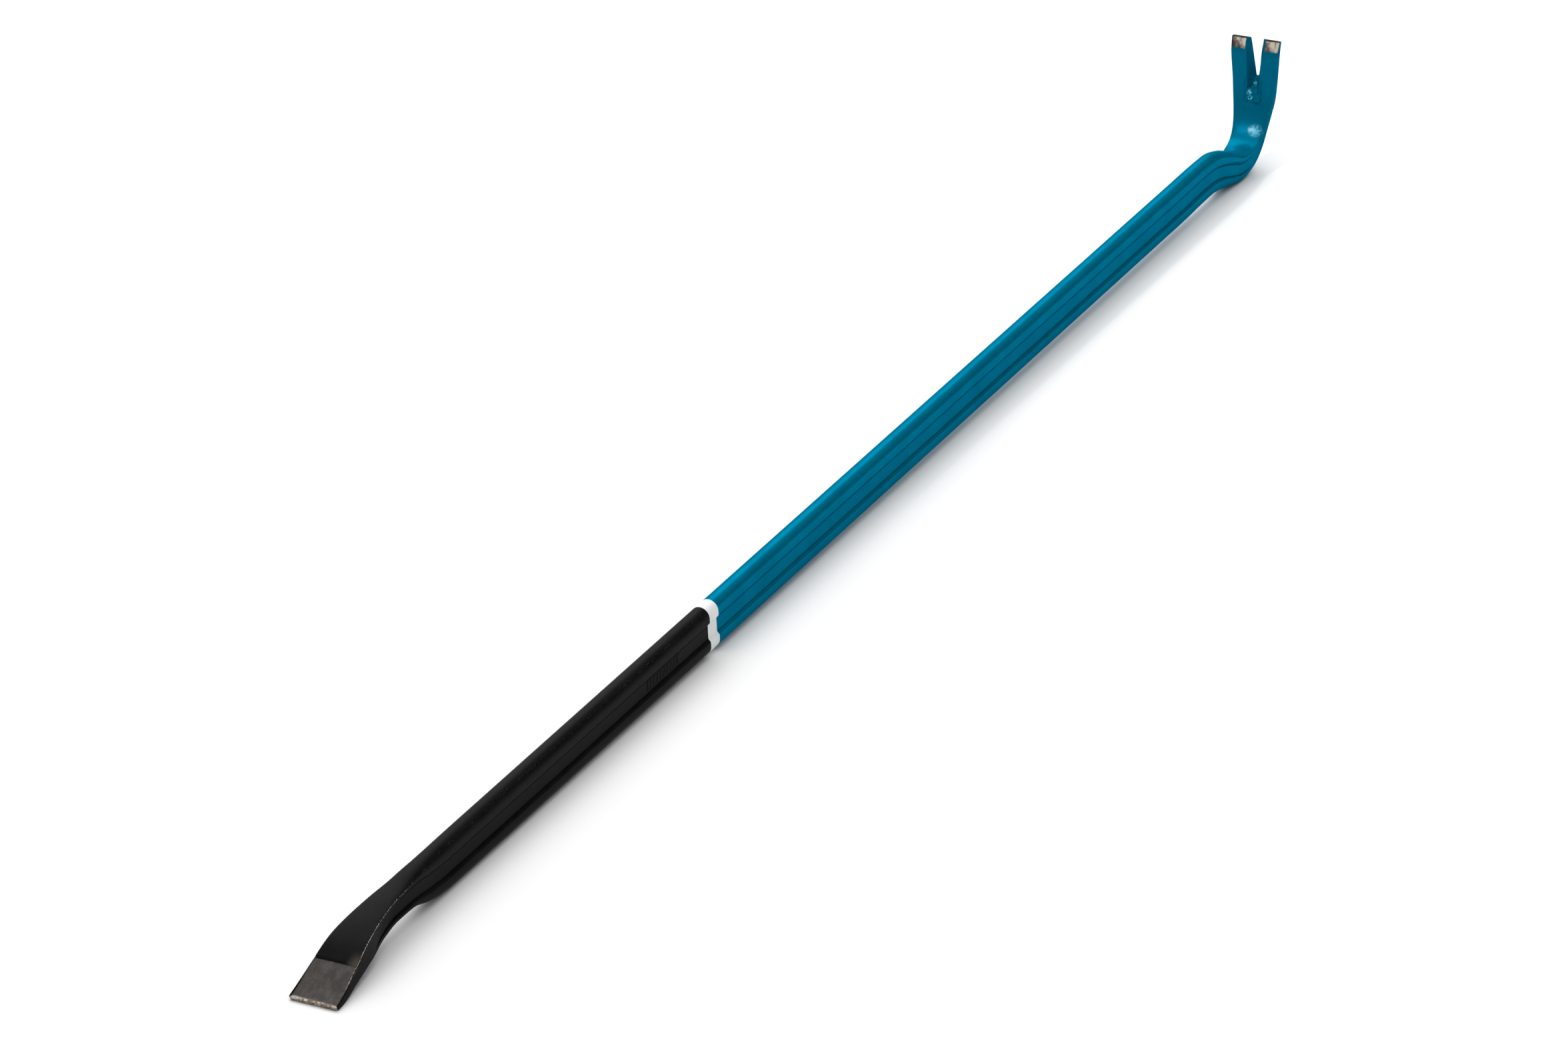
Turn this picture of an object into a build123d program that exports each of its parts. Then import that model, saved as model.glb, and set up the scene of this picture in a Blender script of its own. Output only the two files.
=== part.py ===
from build123d import *
import math
import os

os.makedirs("parts", exist_ok=True)

# Wrecking bar with an I-section shaft, a bent chisel and an upswept nail claw.
# Driving dimensions, in mm. The shaft frame has its origin on the shaft's axis at mid length, x
# towards the claw and z up out of the upper flange. It lies in the rest frame with the heel of the
# gooseneck and the chisel's edge both on z = 0.
AXIS_HEIGHT = 17.3
REST_TILT = 0.287
COAT = 0.4

# How far a groove's edge moves up the flange as the outline moves in, for slopes of 45 degrees.
CORNER_SHIFT = 0.41

PROFILE_HEIGHT = 30.0
PROFILE_WIDTH = 12.0
WEB_THICKNESS = 8.8
FLANGE_EDGE = 9.0

SHAFT_START = -450.5
SHAFT_END = 469.5
BAND_START = -180.8
BAND_END = -170.5

# The chisel's top face is ground bare back from the edge, and so is the inner face of the tines'
# tips. Each is a sloped cut through the coat, given by a point of the coat's face and a slope:
# how steeply the chisel's face rises towards the shaft, how far the tips' face leans from upright.
GROUND_FACE = dict(x=-601.0, z=-12.1, rise=24.2)
GROUND_END = -576.5
TIP_FACE = dict(x=595.1, z=58.8, lean=23.0)
GROUND_DEPTH = 0.8
CLEAR = 20.0

# Nail slot: half widths, root radii and root heights at the claw's inner and outer faces.
SLOT_INNER = dict(x=593.5, mouth=5.7, radius=4.2, root=24.5)
SLOT_OUTER = dict(x=600.5, mouth=4.5, radius=0.9, root=39.3)
SLOT_MOUTH_Z = 66.0
SLOT_CUT_X = (584.0, 602.0)
SLOT_CUT_TOP = 72.0

# Generic raised cartouche on the web, between the chisel and the band.
CARTOUCHE_MIDDLE = -233.0
CARTOUCHE_LENGTH = 38.0
CARTOUCHE_HEIGHT = 6.4
CARTOUCHE_RELIEF = 0.35
RIB_COUNT = 9
RIB_PITCH = 3.8
RIB_SIZE = (1.2, 4.6)
RIB_LEAN = -20.0

# Stations across the forging, chisel edge first. Each row is x and z of the section's middle, the
# heading of the bar there in degrees, then half height, upper and lower half widths, web half
# thickness, depth of the flanges' straight-sided edge and depth of the crowned flange ends.
SHAFT_SECTION = (
    PROFILE_HEIGHT / 2,
    PROFILE_WIDTH / 2,
    PROFILE_WIDTH / 2,
    WEB_THICKNESS / 2,
    FLANGE_EDGE,
    PROFILE_WIDTH / 2,
)
CHISEL_STATIONS = (
    (-600.5, -13.2, 24, 1.2, 14.8, 14.6, 14.7, 1.00, 0.15),
    (-594.5, -12.2, 24, 2.3, 14.6, 14.2, 14.4, 1.75, 0.20),
    (-577.5, -6.6, 22, 4.6, 13.2, 12.6, 12.9, 2.1, 0.45),
    (-558.5, -0.9, 17, 7.3, 11.3, 10.4, 10.6, 2.9, 0.65),
    (-540.5, 2.0, 9, 8.3, 8.9, 7.0, 6.3, 2.8, 1.0),
    (-522.5, 3.3, 3, 8.9, 7.2, 5.6, 4.4, 3.0, 1.7),
    (-505.5, 3.3, 0, 10.3, 6.4, 5.6, 4.4, 4.5, 3.4),
    (-488.5, 1.2, 0, 13.2, 6.1, 6.0, 4.4, 7.2, 5.1),
    (-470.5, 0.1, 0, 14.7, 6.0, 6.0, 4.4, 8.7, 5.8),
    (SHAFT_START, 0, 0, *SHAFT_SECTION),
)
CLAW_STATIONS = (
    (SHAFT_END, 0, 0, *SHAFT_SECTION),
    (497.5, 0.4, -1, 14.6, 6.0, 6.0, 4.4, 8.7, 5.9),
    (516.5, 0.2, -7, 14.2, 6.2, 6.1, 4.6, 8.3, 5.8),
    (532.5, -2.6, -13, 13.2, 6.8, 6.4, 5.0, 7.6, 5.2),
    (547.0, -6.9, -12, 11.8, 7.8, 7.0, 5.8, 6.2, 4.3),
    (560.0, -10.2, 0, 9.9, 9.0, 7.6, 7.0, 5.0, 3.0),
    (572.0, -8.4, 24, 8.8, 9.8, 8.2, 8.4, 4.4, 1.9),
    (581.0, -3.4, 48, 7.2, 10.3, 9.0, 9.4, 4.0, 1.3),
    (587.3, 4.2, 62, 6.2, 10.9, 9.8, 10.2, 3.9, 1.1),
    (592.1, 14.3, 73, 5.1, 12.5, 11.6, 12.0, 3.4, 0.9),
    (595.3, 25.0, 80, 4.4, 14.2, 13.6, 14.0, 3.0, 0.8),
    (597.0, 40.0, 86, 3.8, 15.4, 14.9, 15.2, 2.6, 0.7),
    (597.7, 57.0, 88, 3.3, 16.7, 16.3, 16.5, 2.2, 0.6),
    (599.5, 66.0, 86, 1.3, 17.5, 17.3, 17.4, 0.9, 0.2),
)


def shaft_point(x, z, y=0.0):
    """A point of the shaft frame, in the rest frame."""
    tilt = math.radians(REST_TILT)
    return (
        x * math.cos(tilt) - z * math.sin(tilt),
        y,
        AXIS_HEIGHT + x * math.sin(tilt) + z * math.cos(tilt),
    )


def cross_plane(x, z, heading):
    """Plane across the bar: its x is the bar's width, its y points out of the upper flange."""
    turn = math.radians(heading + REST_TILT)
    normal = (math.cos(turn), 0, math.sin(turn))
    return Plane(origin=shaft_point(x, z), x_dir=(0, 1, 0), z_dir=normal)


def side_plane(y=0.0):
    """Plane along the bar: its x and y are the shaft frame's x and z, and it faces -Y."""
    tilt = math.radians(REST_TILT)
    along = (math.cos(tilt), 0, math.sin(tilt))
    return Plane(origin=shaft_point(0, 0, y), x_dir=along, z_dir=(0, -1, 0))


def section(station, inset=0.0):
    """Dog-bone outline of the bar at a station, moved inwards by inset."""
    x, z, heading, half_height, upper, lower, web, edge, crown = station
    corner = half_height - edge
    corner += CORNER_SHIFT * inset
    upper_groove = corner - abs(upper - web)
    lower_groove = corner - abs(lower - web)
    crown *= (upper - inset) / upper
    shoulder = half_height - inset - crown
    upper, lower, web = upper - inset, lower - inset, web - inset
    with BuildSketch(cross_plane(x, z, heading)) as outline:
        with BuildLine():
            EllipticalCenterArc((0, shoulder), upper, crown, 0, arc_size=180)
            for side in (1, -1):
                Polyline(
                    (side * upper, shoulder),
                    (side * upper, corner),
                    (side * web, upper_groove),
                    (side * web, -lower_groove),
                    (side * lower, -corner),
                    (side * lower, -shoulder),
                )
            EllipticalCenterArc((0, -shoulder), lower, crown, 180, arc_size=180)
        make_face()
    return outline.sketch


def add_straight(start, end, inset=0.0):
    """Shaft of constant section between two places along its axis."""
    extrude(section((start, 0, 0, *SHAFT_SECTION), inset), amount=end - start)


def add_blend(stations, inset=0.0):
    """Forged end that changes evenly from station to station."""
    loft([section(station, inset) for station in stations], ruled=True)


def slot_outline(x, inset):
    """Round-ended V of the nail slot in the plane across the shaft at x."""
    share = (x - SLOT_INNER["x"]) / (SLOT_OUTER["x"] - SLOT_INNER["x"])

    def between(name):
        return SLOT_INNER[name] + share * (SLOT_OUTER[name] - SLOT_INNER[name])

    radius = between("radius") + inset
    bottom = between("root") - inset
    centre = bottom + radius
    lean = (between("mouth") + inset - radius) / (SLOT_MOUTH_Z - centre)
    top = radius + lean * (SLOT_CUT_TOP - centre)
    with BuildSketch(cross_plane(x, 0, 0)) as outline:
        with BuildLine():
            ThreePointArc((-radius, centre), (0, bottom), (radius, centre))
            Polyline(
                (radius, centre),
                (top, SLOT_CUT_TOP),
                (-top, SLOT_CUT_TOP),
                (-radius, centre),
            )
        make_face()
    return outline.sketch


def cut_slot(inset=0.0):
    """Nail slot, whose walls open towards the inner face."""
    loft([slot_outline(x, inset) for x in SLOT_CUT_X], ruled=True, mode=Mode.SUBTRACT)


def cut_side(*corners):
    """Cut right across the bar, with its corners given in the side plane."""
    with BuildSketch(side_plane()) as outline:
        with BuildLine():
            Polyline(*corners, close=True)
        make_face()
    extrude(outline.sketch, amount=PROFILE_HEIGHT, both=True, mode=Mode.SUBTRACT)


def ground_z(x):
    """Height of the floor of the cut that bares the ground face."""
    along = x - GROUND_FACE["x"]
    return GROUND_FACE["z"] - GROUND_DEPTH + along * math.tan(math.radians(GROUND_FACE["rise"]))


def tip_x(z):
    """Depth reached by the cut that bares the inner face of the tips, at a height."""
    up = z - TIP_FACE["z"]
    return TIP_FACE["x"] + GROUND_DEPTH + up * math.tan(math.radians(TIP_FACE["lean"]))


def cartouche():
    """Raised rounded panel with plain leaning ribs, on the web's face."""
    with BuildSketch(side_plane(-WEB_THICKNESS / 2)) as panel:
        with Locations((CARTOUCHE_MIDDLE, 0)):
            RectangleRounded(CARTOUCHE_LENGTH, CARTOUCHE_HEIGHT, CARTOUCHE_HEIGHT / 4)
    extrude(panel.sketch, amount=CARTOUCHE_RELIEF)
    with BuildSketch(side_plane(-WEB_THICKNESS / 2)) as ribs:
        with Locations((CARTOUCHE_MIDDLE, 0)):
            with GridLocations(RIB_PITCH, 0, RIB_COUNT, 1):
                Rectangle(*RIB_SIZE, rotation=RIB_LEAN)
    extrude(ribs.sketch, amount=2 * CARTOUCHE_RELIEF)


# The forging is one piece of steel from the chisel's edge to the tips of the claw.
with BuildPart() as forged_bar:
    add_straight(SHAFT_START, SHAFT_END, COAT)
    add_blend(CHISEL_STATIONS, COAT)
    add_blend(CLAW_STATIONS, COAT)
    cut_slot(COAT)
forged_bar.part.label = "forged_bar"

# Black coat from the chisel to the band, left off the chisel's ground face.
with BuildPart() as black_coat:
    add_straight(SHAFT_START, BAND_START)
    add_blend(CHISEL_STATIONS)
    cartouche()
    add(forged_bar.part, mode=Mode.SUBTRACT)
    edge_x = GROUND_FACE["x"] - CLEAR
    cut_side(
        (edge_x, ground_z(edge_x)),
        (GROUND_END, ground_z(GROUND_END)),
        (GROUND_END, CLEAR),
        (edge_x, CLEAR),
    )
black_coat.part.label = "black_coat"

# White band round the profile between the two coats.
with BuildPart() as white_band:
    add_straight(BAND_START, BAND_END)
    add(forged_bar.part, mode=Mode.SUBTRACT)
white_band.part.label = "white_band"

# Blue-green coat from the band over the gooseneck to the claw's tips, left off their inner face.
with BuildPart() as teal_coat:
    add_straight(BAND_END, SHAFT_END)
    add_blend(CLAW_STATIONS)
    cut_slot()
    add(forged_bar.part, mode=Mode.SUBTRACT)
    cut_side(
        (SLOT_CUT_X[0], TIP_FACE["z"]),
        (tip_x(TIP_FACE["z"]), TIP_FACE["z"]),
        (tip_x(SLOT_CUT_TOP), SLOT_CUT_TOP),
        (SLOT_CUT_X[0], SLOT_CUT_TOP),
    )
teal_coat.part.label = "teal_coat"

for piece in (forged_bar, black_coat, white_band, teal_coat):
    export_step(piece.part, f"parts/{piece.part.label}.step")
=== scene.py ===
import math

import bmesh
import bpy
import numpy as np
from mathutils import Matrix, Vector


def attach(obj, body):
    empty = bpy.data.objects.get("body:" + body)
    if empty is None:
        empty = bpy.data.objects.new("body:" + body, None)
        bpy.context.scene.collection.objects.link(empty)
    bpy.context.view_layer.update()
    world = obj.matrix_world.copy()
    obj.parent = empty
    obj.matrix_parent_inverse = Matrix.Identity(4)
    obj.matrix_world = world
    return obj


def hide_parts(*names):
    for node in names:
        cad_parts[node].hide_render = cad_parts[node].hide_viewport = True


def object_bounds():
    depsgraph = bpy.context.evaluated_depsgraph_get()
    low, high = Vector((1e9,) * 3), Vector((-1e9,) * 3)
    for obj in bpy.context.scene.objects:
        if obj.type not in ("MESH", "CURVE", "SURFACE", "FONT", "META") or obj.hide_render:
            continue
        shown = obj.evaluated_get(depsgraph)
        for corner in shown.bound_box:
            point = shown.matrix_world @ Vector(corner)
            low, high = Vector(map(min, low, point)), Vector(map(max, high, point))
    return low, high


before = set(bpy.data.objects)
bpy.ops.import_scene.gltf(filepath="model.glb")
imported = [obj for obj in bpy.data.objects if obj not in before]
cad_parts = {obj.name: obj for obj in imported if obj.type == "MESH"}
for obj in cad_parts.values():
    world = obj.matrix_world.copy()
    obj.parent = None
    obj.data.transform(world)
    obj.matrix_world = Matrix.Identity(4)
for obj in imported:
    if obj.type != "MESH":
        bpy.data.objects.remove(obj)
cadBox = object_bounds()
print("frame loaded:", ", ".join(sorted(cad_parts)))

millimetre = 0.001

# x runs along the shaft from its middle, z up out of the upper flange, both in mm.
# Stations from the chisel's edge to the claw's tips: x and z of the middle, heading in degrees,
# half height, upper and lower half width, web half thickness, and how far below the top the
# flange's straight side and its crown end.
barShape = {
    "axisHeight": 17.31,  # of the shaft's middle over the floor
    "restTilt": 0.287,  # degrees that the shaft leans when it rests on the heel and the chisel
    "coat": 0.4,  # thickness of the paints
    "fields": ("x", "z", "heading", "high", "upper", "lower", "web", "edge", "crown"),
    "stations": (
        (-600.1, -13.0, 24, 1.2, 14.8, 14.6, 14.7, 1.00, 0.15),
        (-594.5, -12.2, 24, 2.3, 14.6, 14.2, 14.4, 1.75, 0.20),
        (-577.5, -6.6, 22, 4.6, 13.2, 12.6, 12.9, 2.1, 0.45),
        (-558.5, -0.9, 17, 7.3, 11.3, 10.4, 10.6, 2.9, 0.65),
        (-540.5, 2.0, 9, 8.3, 8.9, 7.0, 6.3, 2.8, 1.0),
        (-522.5, 3.3, 3, 8.9, 7.2, 5.6, 4.4, 3.0, 1.7),
        (-505.5, 3.3, 0, 10.3, 6.4, 5.6, 4.4, 4.5, 3.4),
        (-488.5, 1.2, 0, 13.2, 6.1, 6.0, 4.4, 7.2, 5.1),
        (-470.5, 0.1, 0, 14.7, 6.0, 6.0, 4.4, 8.7, 5.8),
        (-450.5, 0, 0, 15, 6, 6, 4.4, 9, 6),
        (469.5, 0, 0, 15, 6, 6, 4.4, 9, 6),
        (497.5, 0.4, -1, 14.6, 6.0, 6.0, 4.4, 8.7, 5.9),
        (516.5, 0.2, -7, 14.2, 6.2, 6.1, 4.6, 8.3, 5.8),
        (532.5, -2.6, -13, 13.2, 6.8, 6.4, 5.0, 7.6, 5.2),
        (547.0, -6.9, -12, 11.8, 7.8, 7.0, 5.8, 6.2, 4.3),
        (560.0, -10.2, 0, 9.9, 9.0, 7.6, 7.0, 5.0, 3.0),
        (572.0, -8.4, 24, 8.8, 9.8, 8.2, 8.4, 4.4, 1.9),
        (581.0, -3.4, 48, 7.2, 10.3, 9.0, 9.4, 4.0, 1.3),
        (587.3, 4.2, 62, 6.2, 10.9, 9.8, 10.2, 3.9, 1.1),
        (592.1, 14.3, 73, 5.1, 12.5, 11.6, 12.0, 3.4, 0.9),
        (595.3, 25.0, 80, 4.4, 14.2, 13.6, 14.0, 3.0, 0.8),
        (597.0, 40.0, 86, 3.8, 15.4, 14.9, 15.2, 2.6, 0.7),
        (597.7, 57.0, 88, 3.3, 16.7, 16.3, 16.5, 2.2, 0.6),
        (599.5, 66.0, 86, 1.3, 17.5, 17.3, 17.4, 0.9, 0.2),
    ),
    "step": 0.25,  # between the places in the path's table
    "softening": 2.2,  # width of the bell that rounds the path's curves
    # columns round one half of the outline, from the middle of the upper flange to the middle of
    # the lower one: crown, side, slope, web, slope, side, crown
    "columns": (20, 5, 4, 14, 4, 5, 20),
    # nail slot on either face: half width at the tips, radius and height of the root, and how many
    # times the inset the root drops
    "slotInner": {"mouth": 5.7, "radius": 4.2, "root": 24.5, "drop": 0.0},
    "slotOuter": {"mouth": 4.5, "radius": 0.9, "root": 39.3, "drop": 3.6},
    # heights where the slot's rows start to bend, and where the root's row meets the claw's sides
    "slotFrom": 14.0,
    "sideRoot": 31.0,
    # share of the slot's rows on the root's arc, and where and how high all columns draw level
    "arcRows": 0.3,
    "levelRows": 0.5,
    "levelHeight": 45.0,
    # power that crowds the slot's rows towards its root
    "slotCrowding": 1.15,
}


# A curve through the stations that never overshoots them: each piece is a cubic whose slopes are
# the harmonic mean of the chords on its two sides, and nought where the chords change sign.
def throughStations(at, knots, values):
    gap = np.diff(knots)
    chord = np.diff(values) / gap
    before, after = chord[:-1], chord[1:]
    first, second = 2 * gap[1:] + gap[:-1], gap[1:] + 2 * gap[:-1]
    sameWay = before * after > 0
    safeBefore, safeAfter = np.where(sameWay, before, 1), np.where(sameWay, after, 1)
    mean = (first + second) / (first / safeBefore + second / safeAfter)
    slope = np.concatenate(([chord[0]], np.where(sameWay, mean, 0), [chord[-1]]))
    k = np.clip(np.searchsorted(knots, at) - 1, 0, len(gap) - 1)
    u = (at - knots[k]) / gap[k]
    return (
        (2 * u**3 - 3 * u**2 + 1) * values[k]
        + (u**3 - 2 * u**2 + u) * gap[k] * slope[k]
        + (3 * u**2 - 2 * u**3) * values[k + 1]
        + (u**3 - u**2) * gap[k] * slope[k + 1]
    )


# A bell-shaped running mean, with the curve carried on past both ends by point reflection.
def soften(values, width):
    reach = int(4 * width)
    bell = np.exp(-0.5 * (np.arange(-reach, reach + 1) / width) ** 2)
    before = 2 * values[0] - values[reach:0:-1]
    after = 2 * values[-1] - values[-2 : -reach - 2 : -1]
    return np.convolve(np.concatenate((before, values, after)), bell / bell.sum(), "valid")


stations = np.array(barShape["stations"], float)
pathAtStation = np.concatenate(([0], np.cumsum(np.hypot(*np.diff(stations[:, :2], axis=0).T))))
pathLength = pathAtStation[-1]
pathAt = np.linspace(0, pathLength, int(pathLength / barShape["step"]) + 1)
pathTable = {
    name: soften(
        throughStations(pathAt, pathAtStation, stations[:, i]),
        barShape["softening"] / barShape["step"],
    )
    for i, name in enumerate(barShape["fields"])
}


def along(name, path):
    return np.interp(path, pathAt, pathTable[name])


# path lengths of a place on the shaft and of a height on the claw
def pathAtX(x):
    return float(np.interp(x, pathTable["x"], pathAt))


def pathAtZ(z):
    high = pathAt > pathAtX(565)
    return float(np.interp(z, pathTable["z"][high], pathAt[high]))


# From a place on the path, sideways y and outwards b (mm), to the rest frame (m): the point is
# the section's middle plus b along the section's up, which is the heading turned by 90 degrees.
def toRest(path, sideways, outwards):
    heading = np.radians(along("heading", path))
    x = along("x", path) - outwards * np.sin(heading)
    z = along("z", path) + outwards * np.cos(heading)
    tilt = math.radians(barShape["restTilt"])
    turnedX = x * math.cos(tilt) - z * math.sin(tilt)
    turnedZ = x * math.sin(tilt) + z * math.cos(tilt) + barShape["axisHeight"]
    return np.stack((turnedX, sideways + 0 * x, turnedZ), -1) * millimetre


# where each column lies: its stretch of the outline, and how far along that stretch it is
columnStretch = np.concatenate([np.full(n, i) for i, n in enumerate(barShape["columns"])] + [[6]])
columnShare = np.concatenate([np.arange(n) / n for n in barShape["columns"]] + [[1.0]])
columnCount = len(columnShare)
crownColumns = barShape["columns"][0]
sideColumns = columnCount - 1 - 2 * crownColumns


# 0 at the middle of a flange or at the slot's edge, 1 at the flange's corner: a sine and a power,
# which both crowd the columns towards the corner.
def faceShare(count):
    sineShare, power = 0.55, 1.6
    share = np.linspace(0, 1, count + 1)
    return sineShare * np.sin(share * math.pi / 2) + (1 - sineShare) * (1 - (1 - share) ** power)


crownShare = faceShare(crownColumns)
nearSide = np.concatenate((crownShare, np.ones(sideColumns - 1), crownShare[::-1]))


# Half outline of the bar on a grid of path lengths, moved inwards by inset: an elliptic crown, a
# straight side, a slope of 45 degrees down to the web, the web, and the same again below.
# slotHalf is how far the slot's edge stands from the middle, on either face.
def halfOutline(path, inset, slotHalf):
    cornerShift = 0.41  # tangent of half of 45 degrees
    high, upper, lower = along("high", path), along("upper", path), along("lower", path)
    web, edge, crown = along("web", path), along("edge", path), along("crown", path)
    corner = high - edge + cornerShift * inset
    upperFoot, lowerFoot = corner - abs(upper - web), corner - abs(lower - web)
    crownUp, crownDown = crown * (upper - inset) / upper, crown * (lower - inset) / lower
    high, upper, lower, web = high - inset, upper - inset, lower - inset, web - inset
    shoulderUp, shoulderDown = high - crownUp, high - crownDown
    u = columnShare[None, :]
    share = nearSide[None, :]
    upperFace = slotHalf + (upper - slotHalf) * share
    lowerFace = slotHalf + (lower - slotHalf) * share
    upperCrown = shoulderUp + crownUp * np.sqrt(np.clip(1 - (upperFace / upper) ** 2, 0, 1))
    lowerCrown = shoulderDown + crownDown * np.sqrt(np.clip(1 - (lowerFace / lower) ** 2, 0, 1))
    stretch = columnStretch[None, :] + 0 * path
    sideways = np.choose(
        stretch.astype(int),
        (
            upperFace,
            upper + 0 * u,
            upper + (web - upper) * u,
            web + 0 * u,
            web + (lower - web) * u,
            lower + 0 * u,
            lowerFace,
        ),
    )
    outwards = np.choose(
        stretch.astype(int),
        (
            upperCrown,
            shoulderUp + (corner - shoulderUp) * u,
            corner + (upperFoot - corner) * u,
            upperFoot - (upperFoot + lowerFoot) * u,
            -lowerFoot + (lowerFoot - corner) * u,
            -corner + (corner - shoulderDown) * u,
            -lowerCrown,
        ),
    )
    return sideways, outwards


# Rounds the corners of the outline: each column moves to the mean of itself, counted twice, and
# its two neighbours. The two middle columns stay.
def roundCorners(grid):
    rounded = grid.copy()
    rounded[:, 1:-1] = 0.25 * (grid[:, :-2] + 2 * grid[:, 1:-1] + grid[:, 2:])
    return rounded


# Path length of the slot's root on one face. The root leans, so the steel's root on the outer
# face drops by more than the coat's thickness to stay under the coat.
def slotRoot(face, inset):
    return pathAtZ(face["root"] - face["drop"] * inset)


# Half width of the slot and path length of its edge, for p from 0 at the root to 1 at the tips:
# a quarter circle out of the root, then a straight wall to the mouth.
def slotEdge(p, face, inset):
    radius, mouth = face["radius"] + inset, face["mouth"] + inset
    root = slotRoot(face, inset)
    level = pathAtZ(barShape["levelHeight"])
    turn = np.clip(p / barShape["arcRows"], 0, 1) * math.pi / 2
    knots = (0, barShape["arcRows"], barShape["levelRows"], 1)
    path = np.interp(p, knots, (root + radius, root + radius, level, pathLength))
    wall = (path - root - radius) / (pathLength - root - radius)
    half = radius * np.sin(turn) + (mouth - radius) * wall
    return half, path - radius * np.cos(turn)


# path length of the claw's sides on the same rows
def sidePathAt(p):
    sideRoot, level = pathAtZ(barShape["sideRoot"]), pathAtZ(barShape["levelHeight"])
    return np.interp(p, (0, barShape["levelRows"], 1), (sideRoot, level, pathLength))


# radii of the corners, seen from above, and of the lips, seen from the side, and the path lengths
# of the first rows at the chisel's edge
endShape = {
    "chiselCorner": 1.0,
    "clawCorner": 0.5,
    "chiselLip": 0.35,
    "clawLip": 0.4,
    "tipRows": (0, 0.08, 0.2, 0.35, 0.7, 1.2, 1.8, 2.5, 3.4),
}


# How far a quarter circle of this radius falls back at a distance from the end.
def roundedBack(distance, radius):
    inside = np.clip(radius - distance, 0, radius)
    return radius - np.sqrt(radius**2 - inside**2)


# Half skin: the outline on every row, pulled in near both ends so that corners and lips are round.
# Returns a grid of points, rows by columns, in the section's own sideways and outwards.
def halfSkin(path, inset=0, slotHalf=0):
    sideways, outwards = halfOutline(path, inset, slotHalf)
    ends, fromClaw = endShape, pathLength - path
    narrower = roundedBack(path, ends["chiselCorner"]) + roundedBack(fromClaw, ends["clawCorner"])
    thinner = roundedBack(path, ends["chiselLip"]) + roundedBack(fromClaw, ends["clawLip"])
    width = along("upper", path) - slotHalf
    sideways = slotHalf + (sideways - slotHalf) * (1 - narrower / width)
    outwards = outwards * (1 - thinner / along("high", path))
    return roundCorners(sideways), roundCorners(outwards)


# Rows of path lengths over the slotted claw. Below the root the rows bend so that each face
# reaches its own root at the same row; above it p runs from 0 to 1 up the slot's edges, and
# lastShare says how far up each column goes. Returns the rows, the slot's half width on them and
# the number of the row at the root.
def clawRows(approachRows, slotRows, inset, lastShare):
    start = pathAtZ(barShape["slotFrom"])
    sideRoot = pathAtZ(barShape["sideRoot"])
    upperHalf = np.arange(columnCount) < columnCount / 2
    v = np.linspace(0, 1, approachRows + 1)[1:, None]
    innerRoot = slotRoot(barShape["slotInner"], inset)
    outerRoot = slotRoot(barShape["slotOuter"], inset)
    middleRoot = np.where(upperHalf, innerRoot, outerRoot)
    rootOfColumn = middleRoot + (sideRoot - middleRoot) * nearSide
    below = start + v * (rootOfColumn[None, :] - start)
    p = (np.linspace(0, 1, slotRows + 1)[1:, None] ** barShape["slotCrowding"]) * lastShare
    innerHalf, innerPath = slotEdge(p, barShape["slotInner"], inset)
    outerHalf, outerPath = slotEdge(p, barShape["slotOuter"], inset)
    slotHalf = np.where(upperHalf[None, :], innerHalf, outerHalf)
    edgePath = np.where(upperHalf[None, :], innerPath, outerPath)
    sidePath = sidePathAt(p)
    above = edgePath + (sidePath - edgePath) * nearSide[None, :]
    path = np.vstack((below, above))
    half = np.vstack((0 * below, slotHalf))
    return path, half, approachRows - 1


# Wall of the slot: straight lines from its edge on the outer face to its edge on the inner face.
def slotWall(grid, rootRow):
    u = np.linspace(0, 1, sideColumns + 1)[None, :, None]
    outerEdge, innerEdge = grid[rootRow:, -1:, :], grid[rootRow:, :1, :]
    return outerEdge + (innerEdge - outerEdge) * u


# Patch between four edge curves: the blend of its two pairs of sides less the blend of corners.
def coonsPatch(first, last, left, right):
    u = np.linspace(0, 1, len(first))[None, :, None]
    v = np.linspace(0, 1, len(left))[:, None, None]
    across = (1 - v) * first[None] + v * last[None]
    down = (1 - u) * left[:, None] + u * right[:, None]
    corners = (
        (1 - u) * (1 - v) * first[0]
        + u * (1 - v) * first[-1]
        + (1 - u) * v * last[0]
        + u * v * last[-1]
    )
    return across + down - corners


# End of half a bar: the patch from the upper face's end to the lower face's end.
def endPatch(row, innerSide):
    first = row[: crownColumns + 1]
    last = row[columnCount - 1 - crownColumns :][::-1]
    right = row[crownColumns : columnCount - crownColumns]
    return coonsPatch(first, last, innerSide, right)


def straightLine(start, end, count):
    return start + (end - start) * np.linspace(0, 1, count + 1)[:, None]


def mirrored(patch):
    return patch * np.array([1, -1, 1])


# Path lengths from start to end, spaced as near to step as fits.
def rowsBetween(start, end, step):
    return np.linspace(start, end, max(2, int(round(abs(end - start) / step)) + 1))


# Stretches of rows in one, where each starts on the last row of the one before.
def joinRows(*stretches):
    return np.concatenate([stretches[0]] + [rows[1:] for rows in stretches[1:]])


# The same path length on every column of each row.
def levelRows(rows):
    return rows[:, None] + np.zeros((1, columnCount))


weldDistance = 2e-6  # metres


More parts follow.
